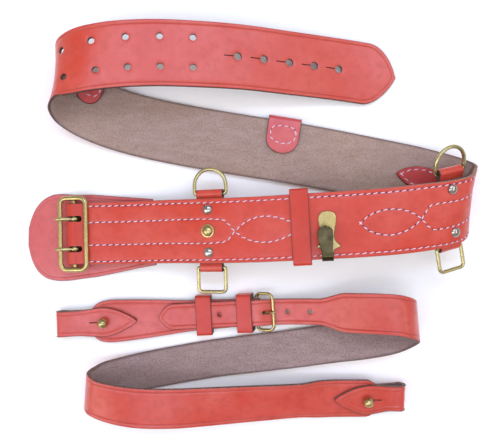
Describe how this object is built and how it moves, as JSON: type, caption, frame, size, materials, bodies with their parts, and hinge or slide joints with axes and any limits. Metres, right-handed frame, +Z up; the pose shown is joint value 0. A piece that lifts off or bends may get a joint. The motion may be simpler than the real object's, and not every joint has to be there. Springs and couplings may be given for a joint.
{
  "type": "sam browne belt",
  "caption": "Red leather waist belt with a two-prong brass buckle, rings, hook and keeper, and its narrower shoulder strap with end loops, laid out folded in a Z.",
  "frame": {"origin": "the middle of the bounding box's footprint, at the height of the lowest point, on the surface that both straps lie on", "axes": "+Z up from the surface, towards the outer faces of the front stretches; +X along the longest extent, from the waist belt's buckle towards its first bend; +Y from the shoulder strap towards the waist belt's holed end"},
  "size_m": [0.4018, 0.3498, 0.0613],
  "materials": {
    "leather_belt": "glossy dyed and burnished",
    "leather_pad": "glossy dyed and burnished",
    "leather_patch": "dyed, satin",
    "leather_tab": "dyed, satin",
    "leather_keeper": "glossy dyed and burnished",
    "leather_strap": "glossy dyed and burnished",
    "brass": "aged, polished on the high places",
    "brass_wire": "aged, pale",
    "nickel": "polished nickel plate, lightly worn"
  },
  "bodies": {
    "root": {"belt_strap": "leather_belt", "belt_facing": "leather_belt", "buckle_pad": "leather_pad", "inner_patch": "leather_patch", "buckle_fold": "leather_belt", "buckle_frame": "brass", "ring_chape_left_top": "leather_belt", "ring_chape_left_bottom": "leather_belt", "ring_chape_right_top": "leather_belt", "ring_chape_right_bottom": "leather_belt", "rivet_left_top": "nickel", "rivet_left_bottom": "nickel", "rivet_right_top": "nickel", "rivet_right_bottom": "nickel", "belt_stud": "brass", "brace_tab_middle": "leather_tab", "brace_tab_end": "leather_tab", "belt_hook": "brass", "belt_keeper": "leather_keeper", "shoulder_strap": "leather_strap", "strap_loop_right": "leather_strap", "strap_stud_right": "brass", "buckle_strap": "leather_strap", "strap_loop_left": "leather_strap", "strap_stud_left": "brass", "strap_buckle_frame": "brass", "strap_buckle_prong": "brass", "strap_keeper_left": "leather_keeper", "strap_keeper_right": "leather_keeper"},
    "upper_prong": {"buckle_prong_upper": "brass"},
    "lower_prong": {"buckle_prong_lower": "brass"},
    "left_d_ring": {"d_ring_left": "brass_wire"},
    "right_d_ring": {"d_ring_right": "brass_wire"},
    "left_square_ring": {"square_ring_left": "brass_wire"},
    "right_square_ring": {"square_ring_right": "brass_wire"}
  },
  "joints": [
    {"name": "upper_prong_turn", "type": "hinge", "parent": "root", "child": "upper_prong", "pos_m": [-0.1561, 0.0064, 0.0098], "axis": [-0.0222, 0.9998, 0.0008], "range_deg": [0, 105]},
    {"name": "lower_prong_turn", "type": "hinge", "parent": "root", "child": "lower_prong", "pos_m": [-0.1555, -0.0208, 0.0098], "axis": [-0.0222, 0.9998, 0.0008], "range_deg": [0, 105]},
    {"name": "left_d_ring_swing", "type": "hinge", "parent": "root", "child": "left_d_ring", "pos_m": [-0.0318, 0.0285, 0.0237], "axis": [0.9715, 0.0247, 0.2357], "range_deg": [-55, 92]},
    {"name": "left_square_ring_swing", "type": "hinge", "parent": "root", "child": "left_square_ring", "pos_m": [-0.0302, -0.0363, 0.0237], "axis": [-0.9715, -0.0247, -0.2357], "range_deg": [-50, 92]},
    {"name": "right_d_ring_swing", "type": "hinge", "parent": "root", "child": "right_d_ring", "pos_m": [0.1727, 0.0468, 0.0402], "axis": [0.9319, 0.2261, -0.2837], "range_deg": [-45, 70]},
    {"name": "right_square_ring_swing", "type": "hinge", "parent": "root", "child": "right_square_ring", "pos_m": [0.1767, -0.0172, 0.0278], "axis": [-0.9319, -0.2261, 0.2837], "range_deg": [-40, 75]}
  ]
}
